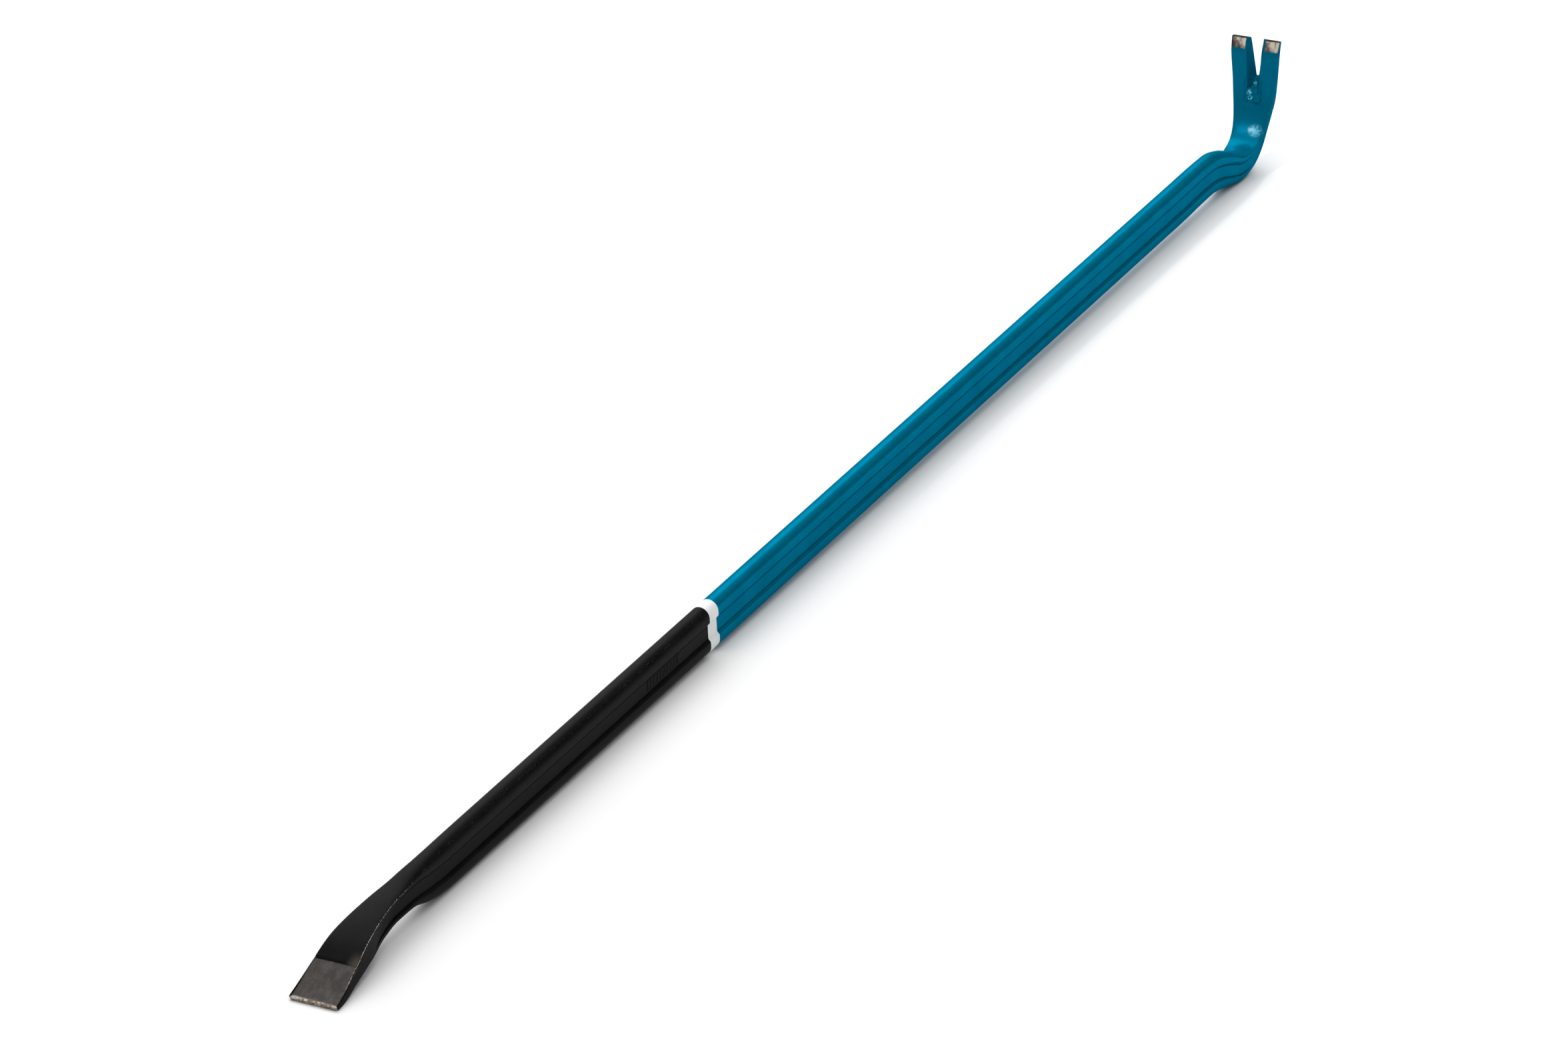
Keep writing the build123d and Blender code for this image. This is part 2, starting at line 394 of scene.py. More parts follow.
# One closed mesh from patches of points: each patch is a grid of four-sided faces, and points
# that meet are welded. The last list gives each point's wear and painted crease shade, as the
# function for a coat's rows works them out.
def makePiece(name, settings, material, patches, wearAndShadePatches):
    points, faces, wear, start = [], [], [], 0
    for patch, wornAndPaintedLight in zip(patches, wearAndShadePatches):
        rows, columns = patch.shape[:2]
        index = start + np.arange(rows * columns).reshape(rows, columns)
        corners = (index[:-1, :-1], index[1:, :-1], index[1:, 1:], index[:-1, 1:])
        faces.append(np.stack(corners, -1).reshape(-1, 4))
        points.append(patch.reshape(-1, 3))
        wear.append(np.broadcast_to(wornAndPaintedLight, (rows, columns)).reshape(-1))
        start += rows * columns
    mesh = bpy.data.meshes.new(name)
    mesh.from_pydata(np.concatenate(points).tolist(), [], np.concatenate(faces).tolist())
    # holds the wear, and the creases as negative values: painted shade in the teal coat
    layer = mesh.attributes.new("wear", "FLOAT", "POINT")
    layer.data.foreach_set("value", np.concatenate(wear).astype(np.float32))
    work = bmesh.new()
    work.from_mesh(mesh)
    bmesh.ops.remove_doubles(work, verts=work.verts, dist=weldDistance)
    bmesh.ops.dissolve_degenerate(work, edges=work.edges, dist=weldDistance)
    bmesh.ops.recalc_face_normals(work, faces=work.faces)
    openEdges = sum(1 for edge in work.edges if len(edge.link_faces) != 2)
    work.to_mesh(mesh)
    work.free()
    mesh.shade_smooth()
    mesh.set_sharp_from_angle(angle=math.radians(settings["sharpAngle"]))
    piece = bpy.data.objects.new(name, mesh)
    bpy.context.scene.collection.objects.link(piece)
    mesh.materials.append(material)
    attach(piece, "root")
    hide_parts(settings["node"])
    print(f"{name}: {len(mesh.polygons)} faces, {openEdges} open edges")


# The worn line runs along the blade's near edge and climbs on to the round flange behind it. The
# creases are the two corners of the web: painted shade in the teal coat's colour, and grooves in
# the coats' bumps.
wearAndCreaseShape = {
    "reach": 2.5,
    "climb": (-520, -460),
    "climbTo": 0.66,
    "creaseReach": 0.9,
    "lowerCrease": 0.7,
    "shallow": 0.3,
}


# Nearness to the worn line, from 0 to 1, less the nearness to the creases, which carry painted
# shade. A crease counts once the web lies deeper than shallow, and fully 1 mm deeper than that.
def wearAndCreaseShadeOnRows(path, sideways, outwards):
    shape = wearAndCreaseShape
    start, end = shape["climb"]
    climb = np.clip((along("x", path[:, :1]) - start) / (end - start), 0, 1)

    def nearness(column, reach, higher=None):
        place = [grid[:, column : column + 1] for grid in (sideways, outwards)]
        if higher is not None:
            there = [grid[:, higher : higher + 1] for grid in (sideways, outwards)]
            place = [a + (b - a) * climb for a, b in zip(place, there)]
        return np.clip(1 - np.hypot(sideways - place[0], outwards - place[1]) / reach, 0, 1)

    upperFoot = sum(barShape["columns"][:3])
    lowerFoot = upperFoot + barShape["columns"][3]
    depth = np.clip(along("upper", path) - along("web", path) - shape["shallow"], 0, 1)
    crease = nearness(upperFoot, shape["creaseReach"])
    crease = crease + shape["lowerCrease"] * nearness(lowerFoot, shape["creaseReach"])
    higher = int(np.searchsorted(crownShare, shape["climbTo"]))
    return nearness(crownColumns, shape["reach"], higher) - crease * depth


# Shell of a coat from its outer and inner half skins: both skins, the slot's walls where there
# are any, and the rims that join the skins at the two ends, on both halves of the bar. nearOuter
# is the outer skin of the near half where it isn't the far half's mirror image.
def shellPatches(outer, inner, wear, rootRow=None, nearOuter=None):
    patches, wornAndPaintedLight = [], []
    for isNear in (False, True):
        skin = nearOuter if isNear and nearOuter is not None else outer
        half = [(skin, wear), (inner, 0.0)]
        if rootRow is not None:
            outerWall, innerWall = slotWall(skin, rootRow), slotWall(inner, rootRow)
            rim = np.stack((outerWall[-1], innerWall[-1]))
            half += [(outerWall, 0.0), (innerWall, 0.0), (rim, 0.0)]
        half += [(np.stack((skin[row], inner[row])), 0.0) for row in (0, -1)]
        patches += [mirrored(patch) if isNear else patch for patch, _ in half]
        wornAndPaintedLight += [value for _, value in half]
    return patches, wornAndPaintedLight


# One output socket of a node tree, which ordinary sums can use.
class Wire:
    def __init__(self, nodes, socket):
        self.nodes, self.socket = nodes, socket

    def calc(self, operation, *values):
        settings = {"operation": operation}
        return self.nodes.add("ShaderNodeMath", settings, dict(enumerate(values)))

    def __add__(self, other):
        return self.calc("ADD", self, other)

    __radd__ = __add__

    def __mul__(self, other):
        return self.calc("MULTIPLY", self, other)

    __rmul__ = __mul__

    def __sub__(self, other):
        return self.calc("SUBTRACT", self, other)

    def __rsub__(self, other):
        return self.calc("SUBTRACT", other, self)

    def highest(self, other):
        return self.calc("MAXIMUM", self, other)


# The nodes of one tree, a material's or the sky's.
class Nodes:
    def __init__(self, tree):
        self.tree = tree

    # a node of this type, with its settings first and then the values or links of its sockets
    def add(self, kind, settings, inputs, output=0):
        node = self.tree.nodes.new(kind)
        for key, value in settings.items():
            if key == "stops":
                self.setStops(node.color_ramp, value)
            else:
                setattr(node, key, value)
        for key, value in inputs.items():
            self.feed(node.inputs[key], value)
        return Wire(self, node.outputs[output])

    def setStops(self, ramp, stops):
        while len(ramp.elements) < len(stops):
            ramp.elements.new(0.5)
        for element, (position, colour) in zip(ramp.elements, stops):
            element.position = position
            element.color = colour

    def feed(self, socket, value):
        if isinstance(value, Wire):
            self.tree.links.new(value.socket, socket)
        else:
            socket.default_value = value

    # 0 below low and 1 above high, with an eased rise between
    def rise(self, value, low, high):
        settings = {"interpolation_type": "SMOOTHSTEP"}
        inputs = {"Value": value, "From Min": low, "From Max": high}
        return self.add("ShaderNodeMapRange", settings, inputs)

    # a Mix node's sockets 0, 6 and 7 are its factor and its two colours, and output 2 the result
    def mix(self, share, first, second):
        inputs = {0: share, 6: first, 7: second}
        return self.add("ShaderNodeMix", {"data_type": "RGBA"}, inputs, 2)


# A material under construction: a Principled shader with the nodes that feed it.
class Finish(Nodes):
    def __init__(self, name, constants):
        self.material = bpy.data.materials.new(name)
        self.material.use_nodes = True
        super().__init__(self.material.node_tree)
        self.shader = self.tree.nodes["Principled BSDF"]
        for key, value in constants.items():
            self.shader.inputs[key].default_value = value
        self.place = self.add("ShaderNodeTexCoord", {}, {}, "Object")

    def give(self, **inputs):
        for key, value in inputs.items():
            self.feed(self.shader.inputs[key.replace("_", " ")], value)

    # noise whose grains are size metres across; stretch scales the place along each axis first
    def noise(self, size, detail=2.0, roughness=0.5, stretch=(1, 1, 1), shift=(0, 0, 0)):
        place = self.add(
            "ShaderNodeMapping", {}, {"Vector": self.place, "Scale": stretch, "Location": shift}
        )
        inputs = {"Vector": place, "Scale": 1 / size, "Detail": detail, "Roughness": roughness}
        return self.add("ShaderNodeTexNoise", {}, inputs, "Fac")

    # bump on top of the one below, if there is one
    def bump(self, height, distance, strength=1.0, below=None):
        inputs = {"Height": height, "Distance": distance, "Strength": strength}
        if below is not None:
            inputs["Normal"] = below
        return self.add("ShaderNodeBump", {}, inputs)

    def axis(self, name):
        return self.add("ShaderNodeSeparateXYZ", {}, {"Vector": self.place}, name)

    # how far the surface faces up: 1 straight up, 0 sideways
    def upward(self):
        normal = self.add("ShaderNodeNewGeometry", {}, {}, "Normal")
        return self.add("ShaderNodeSeparateXYZ", {}, {"Vector": normal}, "Z")

    def attribute(self, name):
        settings = {"attribute_type": "GEOMETRY", "attribute_name": name}
        return self.add("ShaderNodeAttribute", settings, {}, "Fac")


# Square of the distance from a place, over the axes given.
def squareFrom(place, axes):
    return sum((axis - at) * (axis - at) for axis, at in zip(axes, place))


# Object coordinate of a place on the shaft's axis, for borders in the materials.
def restX(x):
    return x * math.cos(math.radians(barShape["restTilt"])) * millimetre


def rgb(red, green, blue):
    return (red, green, blue, 1.0)


# The forging. Its rows crowd together off the straight shaft. In its material, lengths are in
# metres: the width of the worn edge painted bright as a highlight, the blade's half width at atX
# and how fast it narrows from there, the side of the nicked corner, and the slot's side and the
# outside of a tine.
forgedBar = {
    "node": "forged_bar",
    "slot": "bare_steel",
    "sharpAngle": 50,
    "shaft": (-450, 470),
    "shaftStep": 30,
    "rowStep": 1.6,
    "approachRows": 24,
    "slotRows": 46,
    "steel": rgb(0.042, 0.038, 0.035),
    "steelPale": rgb(0.075, 0.068, 0.062),
    "steelDark": rgb(0.022, 0.020, 0.019),
    "edgeSteel": rgb(0.50, 0.45, 0.40),
    "edgeBrown": rgb(0.16, 0.115, 0.08),
    "clawSteel": rgb(0.20, 0.165, 0.145),
    "clawPaintedSheen": rgb(0.66, 0.58, 0.48),
    "clawDark": rgb(0.055, 0.042, 0.038),
    "clawEnd": rgb(0.030, 0.024, 0.022),
    "edgeWidth": 0.0012,
    "blade": {"atX": -0.6005, "half": 0.0148, "narrows": 0.0696},
    "nickedSide": (-0.012, -0.004),
    "tine": (0.0057, 0.0175),
}


def groundSteel():
    s = forgedBar
    finish = Finish("groundSteel", {"Metallic": 0.5, "Specular IOR Level": 0.2})
    blotch = finish.noise(0.006, 4.0, 0.6)
    grain = finish.noise(0.0012, 3.0, 0.7)
    scratch = finish.noise(0.0011, 3.0, 0.65, stretch=(0.12, 1.0, 0.12))
    fine = finish.noise(0.00045, 2.0, 0.6)
    x, y, z = finish.axis("X"), finish.axis("Y"), finish.axis("Z")
    shade = 0.45 * blotch + 0.3 * grain + 0.25 * scratch
    plain = finish.mix(finish.rise(shade, 0.42, 0.62), s["steel"], s["steelPale"])
    plain = finish.mix(finish.rise(fine, 0.60, 0.72) * 0.5, plain, s["steelDark"])
    # the worn edge of the chisel, painted bright as a highlight, with an uneven back border
    edgeX = restX(stations[0, 0])
    ragged = finish.noise(0.0016, 2.0, 0.5)
    wornAndPaintedLight = 1 - finish.rise(x - ragged * 0.0016, edgeX + 0.0002, edgeX + s["edgeWidth"])
    edge = finish.mix(finish.rise(ragged + blotch, 0.8, 1.15), s["edgeSteel"], s["edgeBrown"])
    plain = finish.mix(wornAndPaintedLight * 0.9, plain, edge)
    # the ground face's near border, about 1 mm wide, is rubbed bright
    blade = s["blade"]
    pastBorder = 0 - y + (x - blade["atX"]) * blade["narrows"] - blade["half"]
    nearBorder = finish.rise(pastBorder, -0.0011, -0.0006)
    plain = finish.mix(nearBorder * finish.rise(grain, 0.35, 0.6) * 0.7, plain, s["edgeSteel"])
    # nicks near the chisel's near corner
    nick = finish.rise(finish.noise(0.0013, 2.0, 0.6, shift=(4, 4, 4)), 0.56, 0.62)
    nearCorner = 1 - finish.rise(y, *s["nickedSide"])
    plain = finish.mix(nick * wornAndPaintedLight * nearCorner, plain, s["steelDark"])
    # the claw's tips: bare steel painted pale as a reflection, each tine growing paler towards its
    # near side and its very tip, and its end face is dark
    smear = finish.noise(0.0035, 4.0, 0.65, stretch=(1.0, 1.0, 0.6), shift=(3, 1, 2))
    top = cadBox[1][2]
    rising = finish.rise(z + (smear - 0.5) * 0.008, top - 0.009, top - 0.001)
    slotSide, outside = s["tine"]
    toNear = 0 - y
    farTine = 1 - finish.rise(toNear, -0.002, 0.002)
    across = finish.rise(toNear, -outside, -slotSide) * farTine
    across = across + finish.rise(toNear, slotSide, outside)
    tone = 0.9 * smear + 0.22 * blotch + 0.3 * across + 0.25 * rising
    tip = finish.mix(finish.rise(tone, 0.60, 0.92), s["clawDark"], s["clawSteel"])
    tip = finish.mix(finish.rise(tone, 0.82, 1.12), tip, s["clawPaintedSheen"])
    tip = finish.mix(finish.rise(finish.upward(), 0.5, 0.7), tip, s["clawEnd"])
    tip = finish.mix(finish.rise(z, top - 0.0010, top - 0.0005), tip, s["clawEnd"])
    finish.give(
        Base_Color=finish.mix(finish.rise(x, 0.0, 0.1), plain, tip),
        Roughness=0.42 + 0.25 * grain,
        Normal=finish.bump(0.6 * grain + 0.4 * scratch, 0.00006, 0.6),
    )
    return finish.material


# The steel inside the coats, from edge to tips, moved in by the coat's thickness: one half skin,
# the slot's wall and the two ends, and their mirror images.
def buildForgedBar():
    s = forgedBar
    inset = barShape["coat"]
    shaftStart, shaftEnd = [pathAtX(x) for x in s["shaft"]]
    rows = joinRows(
        np.array(endShape["tipRows"], float),
        rowsBetween(endShape["tipRows"][-1], shaftStart, s["rowStep"]),
        rowsBetween(shaftStart, shaftEnd, s["shaftStep"]),
        rowsBetween(shaftEnd, pathAtZ(barShape["slotFrom"]), s["rowStep"]),
    )
    barPath = levelRows(rows)
    wholeClaw = np.ones(columnCount)
    clawPath, clawHalf, rootRow = clawRows(s["approachRows"], s["slotRows"], inset, wholeClaw)
    path = np.vstack((barPath, clawPath))
    half = np.vstack((0 * barPath, clawHalf))
    grid = toRest(path, *halfSkin(path, inset, half))
    wall = slotWall(grid, len(rows) + rootRow)
    middle = straightLine(grid[0, 0], grid[0, -1], sideColumns)
    patches = [grid, wall, endPatch(grid[0], middle), endPatch(grid[-1], wall[-1][::-1])]
    patches += [mirrored(patch) for patch in patches]
    makePiece("forgedBar", s, groundSteel(), patches, [0.0] * len(patches))


# The black coat runs from edgeGap, in path length from the chisel's edge, to the band. On the top
# face it starts at groundEnd, and its rows are level again from settle on. The cartouche's ribs
# lean in degrees. In the material, each pair of places on the shaft is where a mark fades out.
blackCoat = {
    "node": "black_coat",
    "slot": "black_paint",
    "sharpAngle": 50,
    "end": -180.8,
    "groundEnd": -574.6,
    "edgeGap": 1.0,
    "settle": -560.0,
    "shaftFrom": -450,
    "shaftStep": 9,
    "rowStep": 1.15,
    "ribStep": 0.36,
    "cartouche": {"middle": -233.0, "length": 38.0, "height": 6.4, "relief": 0.35, "margin": 1.5},
    "ribs": {"count": 9, "pitch": 3.8, "width": 1.2, "height": 4.6, "lean": -20, "relief": 0.3},
    "reliefBorder": 0.25,
    "black": rgb(0.0026, 0.0022, 0.0023),
    "blackPale": rgb(0.0052, 0.0047, 0.0048),
    "dustAndEdgeHighlight": rgb(0.11, 0.11, 0.113),
    "bare": rgb(0.56, 0.54, 0.52),
    "overspray": rgb(0.075, 0.062, 0.050),
    "wholeLine": (-556, -542),
    "brokenLine": (-505, -480),
    "thinPaint": (-577.5, -566),
    "thinSide": (-0.0115, -0.005),
}


# Height of the raised panel and its leaning ribs over the web, from x and z on the web's face:
# each is 1 inside its outline and falls to 0 over the relief's border.
def cartoucheRelief(x, z):
    panel, ribs, soft = blackCoat["cartouche"], blackCoat["ribs"], blackCoat["reliefBorder"]
    acrossX = panel["length"] / 2 - abs(x - panel["middle"])
    acrossZ = panel["height"] / 2 - abs(z)
    onPanel = np.clip(np.minimum(acrossX, acrossZ) / soft, 0, 1)
    leaning = x - panel["middle"] - z * math.tan(math.radians(-ribs["lean"]))
    number = np.clip(np.round(leaning / ribs["pitch"]), -(ribs["count"] // 2), ribs["count"] // 2)
    offRib = abs(leaning - number * ribs["pitch"])
    onRib = np.clip((ribs["width"] / 2 - offRib) / soft + 0.5, 0, 1)
    onRib = onRib * np.clip((ribs["height"] / 2 - abs(z)) / soft + 0.5, 0, 1)
    return panel["relief"] * onPanel + ribs["relief"] * onRib


def satinBlack():
    s = blackCoat

    def fadeOut(value, places):
        return 1 - finish.rise(value, *[restX(place) for place in places])

    finish = Finish("satinBlack", {"Specular IOR Level": 0.045})
    peel = finish.noise(0.0011, 2.0, 0.5)
    broad = finish.noise(0.012, 3.0, 0.6)
    speck = finish.noise(0.0007, 2.0, 0.75, shift=(5, 2, 1))
    x, y = finish.axis("X"), finish.axis("Y")
    wear = finish.attribute("wear")
    colour = finish.mix(finish.rise(broad, 0.35, 0.7), s["black"], s["blackPale"])
    # pale specks on the crests of the peel: a little dust all over, and a painted highlight
    # thickest along the flange's edge
    dustAndEdgeHighlight = finish.rise(speck, 0.60, 0.70) * (0.04 + 0.6 * finish.rise(wear, 0.3, 0.9))
    colour = finish.mix(dustAndEdgeHighlight, colour, s["dustAndEdgeHighlight"])
    # bare line along the blade's edge, whole near the tip and broken into specks further up
    whole = fadeOut(x, s["wholeLine"])
    broken = finish.rise(speck, 0.54, 0.60) * fadeOut(x, s["brokenLine"]) * 0.8
    line = finish.rise(wear + (speck - 0.5) * 0.5, 0.91, 0.98) * whole.highest(broken)
    colour = finish.mix(line, colour, s["bare"])
    # thin paint by the ground face, where the steel shows through
    ragged = finish.noise(0.005, 4.0, 0.6)
    nearGround = fadeOut(x + (ragged - 0.5) * 0.006, s["thinPaint"])
    nearHalf = 1 - finish.rise(y, *s["thinSide"])
    thin = nearGround * nearHalf * finish.rise(finish.upward(), 0.6, 0.8)
    colour = finish.mix(thin * 0.95, colour, s["overspray"])
    crease = finish.rise(0 - wear, 0.2, 0.8)
    finish.give(
        Base_Color=colour,
        Roughness=0.33 + 0.16 * peel + 0.1 * broad,
        Metallic=line * 0.6,
        Normal=finish.bump(peel, 0.0001, 0.5, below=finish.bump(0 - crease, 0.0006)),
    )
    return finish.material


# Coat from the chisel to the band. Over the ground face its rows start further up the bar, and
# the near web carries the raised cartouche.
def buildBlackCoat():
    s = blackCoat
    panel = s["cartouche"]
    reach = panel["length"] / 2 + panel["margin"]
    shaftFrom, end = pathAtX(s["shaftFrom"]), pathAtX(s["end"])
    panelStart, panelEnd = pathAtX(panel["middle"] - reach), pathAtX(panel["middle"] + reach)
    rows = joinRows(
        np.array(endShape["tipRows"], float),
        rowsBetween(endShape["tipRows"][-1], shaftFrom, s["rowStep"]),
        rowsBetween(shaftFrom, panelStart, s["shaftStep"]),
        rowsBetween(panelStart, panelEnd, s["ribStep"]),
        rowsBetween(panelEnd, end, s["shaftStep"]),
    )
    level = levelRows(rows)
    ground, settle = pathAtX(s["groundEnd"]), pathAtX(s["settle"])
    onFace = (np.arange(columnCount) < crownColumns + 2).astype(float)
    startOfColumn = ground * onFace + s["edgeGap"] * (1 - onFace)
    spread = startOfColumn + (settle - startOfColumn) * np.clip(level / settle, 0, 1)
    path = np.where(level < settle, spread, level)
    # the coat thins out over 1.5 mm to the ground face
    thinning = onFace * np.clip(1 - (path - ground) / 1.5, 0, 1) * 0.3
    sideways, outwards = halfSkin(path, thinning)
    wear = wearAndCreaseShadeOnRows(path, sideways, outwards)
    outer = toRest(path, sideways, outwards)
    onWeb = columnStretch == 3
    raised = sideways + cartoucheRelief(along("x", path), outwards) * onWeb
    nearOuter = toRest(path, raised, outwards)
    inner = toRest(path, *halfSkin(path, barShape["coat"]))
    patches, wornAndPaintedLight = shellPatches(outer, inner, wear, nearOuter=nearOuter)
    makePiece("blackCoat", s, satinBlack(), patches, wornAndPaintedLight)


whiteBand = {
    "node": "white_band",
    "slot": "white_paint",
    "sharpAngle": 40,
    "start": -180.8,
    "end": -170.5,
    "rowStep": 0.8,
    "white": rgb(0.90, 0.93, 0.915),
    "greyer": rgb(0.84, 0.87, 0.855),
}


def bandWhite():
    s = whiteBand
    finish = Finish("bandWhite", {"Specular IOR Level": 0.4})
    peel = finish.noise(0.0012, 2.0, 0.5)
    broad = finish.noise(0.006, 3.0, 0.6, stretch=(1.0, 1.0, 0.4))
    finish.give(
        Base_Color=finish.mix(finish.rise(broad, 0.4, 0.7), s["white"], s["greyer"]),
        Roughness=0.34 + 0.14 * peel,
        Normal=finish.bump(peel, 0.00006, 0.4),
    )
    return finish.material


# A ring of paint between the two coats, as thick as they are.
def buildWhiteBand():
    s = whiteBand
    path = levelRows(rowsBetween(pathAtX(s["start"]), pathAtX(s["end"]), s["rowStep"]))
    outer = toRest(path, *halfSkin(path))
    inner = toRest(path, *halfSkin(path, barShape["coat"]))
    patches, wornAndPaintedLight = shellPatches(outer, inner, 0.0)
    makePiece("whiteBand", s, bandWhite(), patches, wornAndPaintedLight)


# The blue-green coat. bareTip and paintedTo are heights on the claw where it ends, on the inner
# face and elsewhere. In its material, lengths are in metres: the claw's darker colour, painted
# shade, comes in along x, the dented root of the slot lies between heights, each mark of painted
# glints has a place in y and z and a radius, and the spot with a painted highlight a place.
tealCoat = {
    "node": "teal_coat",
    "slot": "teal_paint",
    "sharpAngle": 50,
    "start": -170.5,
    "shaftTo": 465,
    "shaftStep": 12,
    "rowStep": 1.15,
    "bareTip": 58.8,
    "paintedTo": 65.7,
    "approachRows": 30,
    "slotRows": 52,
    "teal": rgb(0.0002, 0.172, 0.283),
    "tealDeep": rgb(0.0002, 0.154, 0.258),
    "tealPale": rgb(0.01, 0.24, 0.34),
    "tealCreaseShade": rgb(0.0002, 0.045, 0.085),
    "tealClawShade": rgb(0.0002, 0.115, 0.205),
    "tealPaintedHighlight": rgb(0.10, 0.55, 0.68),
    "gloss": (0.02, 0.62, 0.86, 1.0),
    "clawFrom": (0.568, 0.588),
    "rootFrom": (0.041, 0.045),
    "rootTo": (0.056, 0.062),
    "marks": ((0.0030, 0.0496, 0.0019), (0.0020, 0.0464, 0.0017), (0.0004, 0.0545, 0.0015)),
    "paintedHighlightSpot": (0.582, -0.006, 0.0273),
}


def tealPaint():
    s = tealCoat
    constants = {"Specular IOR Level": 0.0, "Specular Tint": s["gloss"], "Coat Roughness": 0.2}
    finish = Finish("tealPaint", constants)
    peel = finish.noise(0.0016, 2.0, 0.45)
    broad = finish.noise(0.02, 3.0, 0.6)
    speck = finish.noise(0.0006, 2.0, 0.7, shift=(2, 4, 1))
    dent = finish.noise(0.0034, 1.0, 0.5, shift=(1, 3, 2))
    streak = finish.noise(0.0012, 1.0, 0.5, shift=(3, 1, 4), stretch=(1.0, 1.0, 0.5))
    x, y, z = finish.axis("X"), finish.axis("Y"), finish.axis("Z")
    claw = finish.rise(x, *s["clawFrom"])
    colour = finish.mix(finish.rise(broad, 0.35, 0.7), s["teal"], s["tealDeep"])
    # painted shade: the claw's colour is darker than the shaft's
    colour = finish.mix(claw * 0.75, colour, s["tealClawShade"])
    pale = finish.rise(speck, 0.70, 0.8) * (0.3 + 0.3 * claw)
    colour = finish.mix(pale, colour, s["tealPale"])
    # painted shade: the web's creases darken the colour, above the grooves that the bump cuts
    crease = finish.rise(0 - finish.attribute("wear"), 0.35, 0.8)
    colour = finish.mix(crease * 0.7, colour, s["tealCreaseShade"])
    # hammer marks at the root of the slot, with painted glints: pale spots in the colour where the
    # dents catch the light
    root = finish.rise(z, *s["rootFrom"]) * (1 - finish.rise(z, *s["rootTo"]))
    root = root * (1 - finish.rise(y * y, 0.00002, 0.00005))
    marks = 0.0
    for *place, size in s["marks"]:
        away = squareFrom(place, (y, z)) * (0.2 + 1.6 * dent)
        marks = (1 - finish.rise(away, 0.3 * size**2, 1.1 * size**2)).highest(marks)
    paintedGlints = marks * claw * finish.rise(streak, 0.44, 0.54)
    colour = finish.mix(paintedGlints * 0.85, colour, s["tealPaintedHighlight"])
    # one spot inside the bend has a glossier coat and a painted highlight in its colour
    away = squareFrom(s["paintedHighlightSpot"], (x, y, z)) * (0.3 + 0.8 * dent + 0.6 * peel)
    paintedHighlightSpot = 1 - finish.rise(away, 0.000001, 0.000034)
    colour = finish.mix(paintedHighlightSpot * finish.rise(peel, 0.40, 0.56) * 0.55, colour, s["tealPaintedHighlight"])
    dented = finish.bump(dent * root, 0.003)
    grooved = finish.bump(0 - crease, 0.0003, below=dented)
    finish.give(
        Base_Color=colour,
        Metallic=0.5 - 0.3 * claw + 0.5 * paintedGlints,
        Roughness=0.24 + 0.12 * peel + 0.08 * broad - 0.1 * paintedGlints,
        Coat_Weight=paintedHighlightSpot * 0.5,
        Normal=finish.bump(peel, 0.00008, 0.45, below=grooved),
    )
    return finish.material


# How far up the slot's rows a height on the claw's side lies, from 0 to 1.
def shareAtHeight(z):
    p = np.linspace(0, 1, 200)
    return np.interp(pathAtZ(z), sidePathAt(p), p)


# Coat from the band to the claw. On the inner face, but for two columns beside the slot, its rows
# stop at the bare tips; on the sides, the outer face and the slot's walls they run on almost to
# the end.
def buildTealCoat():
    s = tealCoat
    rows = joinRows(
        rowsBetween(pathAtX(s["start"]), pathAtX(s["shaftTo"]), s["shaftStep"]),
        rowsBetween(pathAtX(s["shaftTo"]), pathAtZ(barShape["slotFrom"]), s["rowStep"]),
    )
    barPath = levelRows(rows)
    onFace = np.zeros(columnCount)
    onFace[2 : crownColumns + 1] = 1
    bare, painted = shareAtHeight(s["bareTip"]), shareAtHeight(s["paintedTo"])
    lastShare = painted + (bare - painted) * onFace
    skins = []
    for inset in (0.0, barShape["coat"]):
        clawPath, clawHalf, rootRow = clawRows(s["approachRows"], s["slotRows"], inset, lastShare)
        path = np.vstack((barPath, clawPath))
        half = np.vstack((0 * barPath, clawHalf))
        thinning = np.zeros_like(path)
        if inset == 0:
            # the outer skin thins out over the last three rows to the bare tips
            nearEnd = np.clip((np.arange(len(path)) - len(path) + 3) / 2, 0, 1)
            thinning = 0.3 * nearEnd[:, None] * onFace
        sideways, outwards = halfSkin(path, inset + thinning, half)
        skins.append((toRest(path, sideways, outwards), wearAndCreaseShadeOnRows(path, sideways, outwards)))
    (outer, wear), (inner, _) = skins
    patches, wornAndPaintedLight = shellPatches(outer, inner, wear, rootRow=len(rows) + rootRow)
    makePiece("tealCoat", s, tealPaint(), patches, wornAndPaintedLight)


buildForgedBar()
buildBlackCoat()
buildWhiteBand()
buildTealCoat()


floorShape = {
    "radius": 40.0,
    "rings": 24,
    "spokes": 96,
    "paper": rgb(0.93, 0.93, 0.93),
    "paperDarker": rgb(0.92, 0.92, 0.92),
}


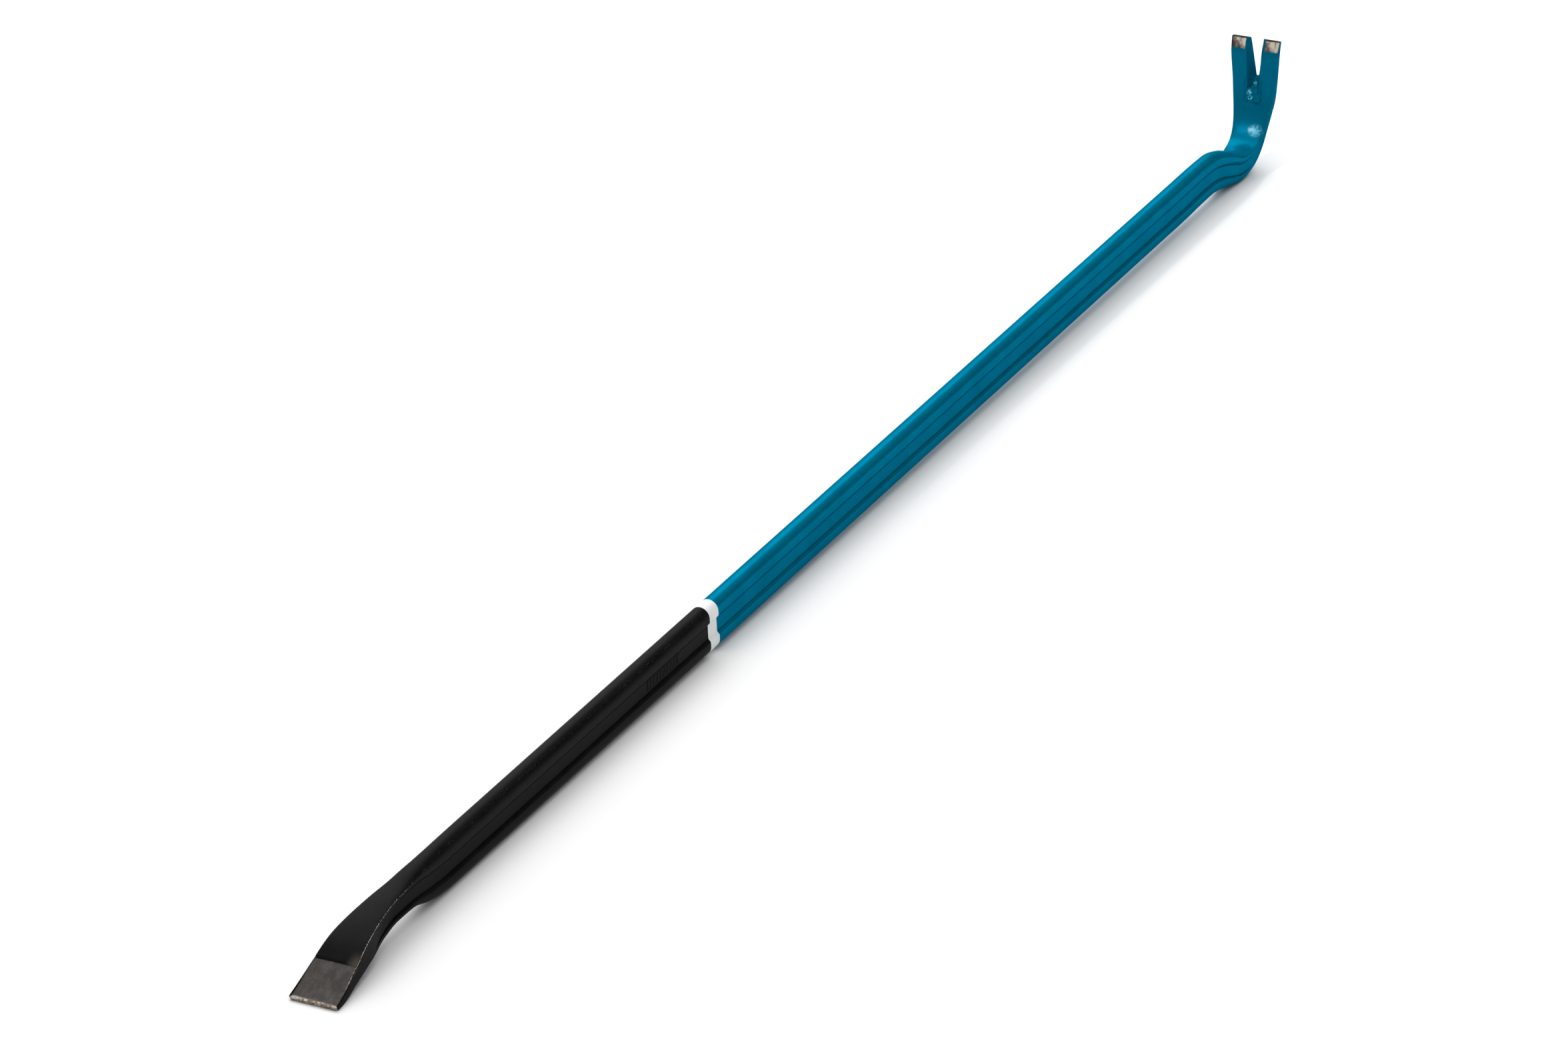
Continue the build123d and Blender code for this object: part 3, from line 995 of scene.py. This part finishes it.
# A flat disc on z = 0, as rings whose radius grows with the square of their number.
def buildFloor():
    s = floorShape
    ring = (np.arange(s["rings"] + 1) / s["rings"]) ** 2 * s["radius"]
    turn = np.linspace(0, 2 * math.pi, s["spokes"], endpoint=False)
    x, y = ring[:, None] * np.cos(turn), ring[:, None] * np.sin(turn)
    points = np.stack((x, y, 0 * x), -1).reshape(-1, 3)
    index = np.arange((s["rings"] + 1) * s["spokes"]).reshape(s["rings"] + 1, s["spokes"])
    nextSpoke = np.roll(index, -1, 1)
    faces = np.stack((index[:-1], index[1:], nextSpoke[1:], nextSpoke[:-1]), -1).reshape(-1, 4)
    mesh = bpy.data.meshes.new("floor")
    mesh.from_pydata(points.tolist(), [], faces.tolist())
    floor = bpy.data.objects.new("floor", mesh)
    bpy.context.scene.collection.objects.link(floor)
    finish = Finish("paper", {"Roughness": 0.9, "Specular IOR Level": 0.0})
    fleck = finish.noise(0.4, 3.0, 0.5)
    finish.give(Base_Color=finish.mix(fleck, s["paper"], s["paperDarker"]))
    mesh.materials.append(finish.material)


# Soft boxes: where each stands, what it looks at, its width and height in metres, its power in
# watts and its spread in degrees.
softBoxes = {
    "key": {
        "place": (4.6, 3.7, 5.4),
        "aim": (0, 0, 0),
        "size": (8.0, 8.0),
        "power": 430,
        "spread": 180,
    },
    "spark": {
        "place": (-0.835, 0.93, 1.86),
        "aim": (0.59, 0, 0.04),
        "size": (0.2, 0.2),
        "power": 0.22,
        "spread": 26,
    },
}

# The studio round the bar: what the camera sees of it, and the light it gives by the height of
# the direction, 0 straight down, 0.5 level and 1 straight up.
skyShape = {
    "seen": rgb(0.96, 0.96, 0.96),
    "stops": (
        (0.0, rgb(0.2, 0.2, 0.2)),
        (0.50, rgb(0.05, 0.05, 0.052)),
        (0.60, rgb(0.08, 0.08, 0.082)),
        (0.75, rgb(0.33, 0.33, 0.33)),
        (0.88, rgb(0.8, 0.8, 0.8)),
        (1.0, rgb(1.9, 1.9, 1.9)),
    ),
}


def buildLights():
    for name, box in softBoxes.items():
        light = bpy.data.lights.new(name, "AREA")
        light.shape = "RECTANGLE"
        light.size, light.size_y = box["size"]
        light.energy = box["power"]
        light.spread = math.radians(box["spread"])
        lamp = bpy.data.objects.new(name, light)
        lamp.location = box["place"]
        aim = Vector(box["aim"]) - Vector(box["place"])
        lamp.rotation_mode = "QUATERNION"
        lamp.rotation_quaternion = aim.to_track_quat("-Z", "Y")
        bpy.context.scene.collection.objects.link(lamp)
    world = bpy.data.worlds.new("studio")
    world.use_nodes = True
    bpy.context.scene.world = world
    sky = Nodes(world.node_tree)
    direction = sky.add("ShaderNodeTexCoord", {}, {}, "Generated")
    height = sky.add("ShaderNodeSeparateXYZ", {}, {"Vector": direction}, "Z") * 0.5 + 0.5
    light = sky.add("ShaderNodeValToRGB", {"stops": skyShape["stops"]}, {"Fac": height}, "Color")
    seen = sky.add("ShaderNodeLightPath", {}, {}, "Is Camera Ray")
    sky.feed(sky.tree.nodes["Background"].inputs["Color"], sky.mix(seen, light, skyShape["seen"]))


# The camera stands past the chisel, on the cartouche's side, and looks down along the bar. Its
# heading is turned from x, and it looks down and rolls by these degrees.
cameraView = {
    "place": (-2.7972, -1.5023, 1.5762),
    "heading": 28.922,
    "down": 26.346,
    "roll": -2.605,
    "lens": 137.76,
    "sensor": 36.0,
    "clip": (0.05, 200),
}


def buildCamera():
    s = cameraView
    heading, down = math.radians(s["heading"]), math.radians(s["down"])
    level = math.cos(down)
    look = Vector((math.cos(heading) * level, math.sin(heading) * level, -math.sin(down)))
    data = bpy.data.cameras.new("camera")
    data.lens, data.sensor_width = s["lens"], s["sensor"]
    data.clip_start, data.clip_end = s["clip"]
    camera = bpy.data.objects.new("camera", data)
    camera.location = s["place"]
    unrolled = look.to_track_quat("-Z", "Y").to_matrix()
    roll = Matrix.Rotation(math.radians(s["roll"]), 3, "Z")
    camera.rotation_mode = "QUATERNION"
    camera.rotation_quaternion = (unrolled @ roll).to_quaternion()
    bpy.context.scene.collection.objects.link(camera)
    bpy.context.scene.camera = camera


buildFloor()
buildLights()
buildCamera()
bpy.context.scene.view_settings.view_transform = "Standard"
print("floor, lights and camera ready")
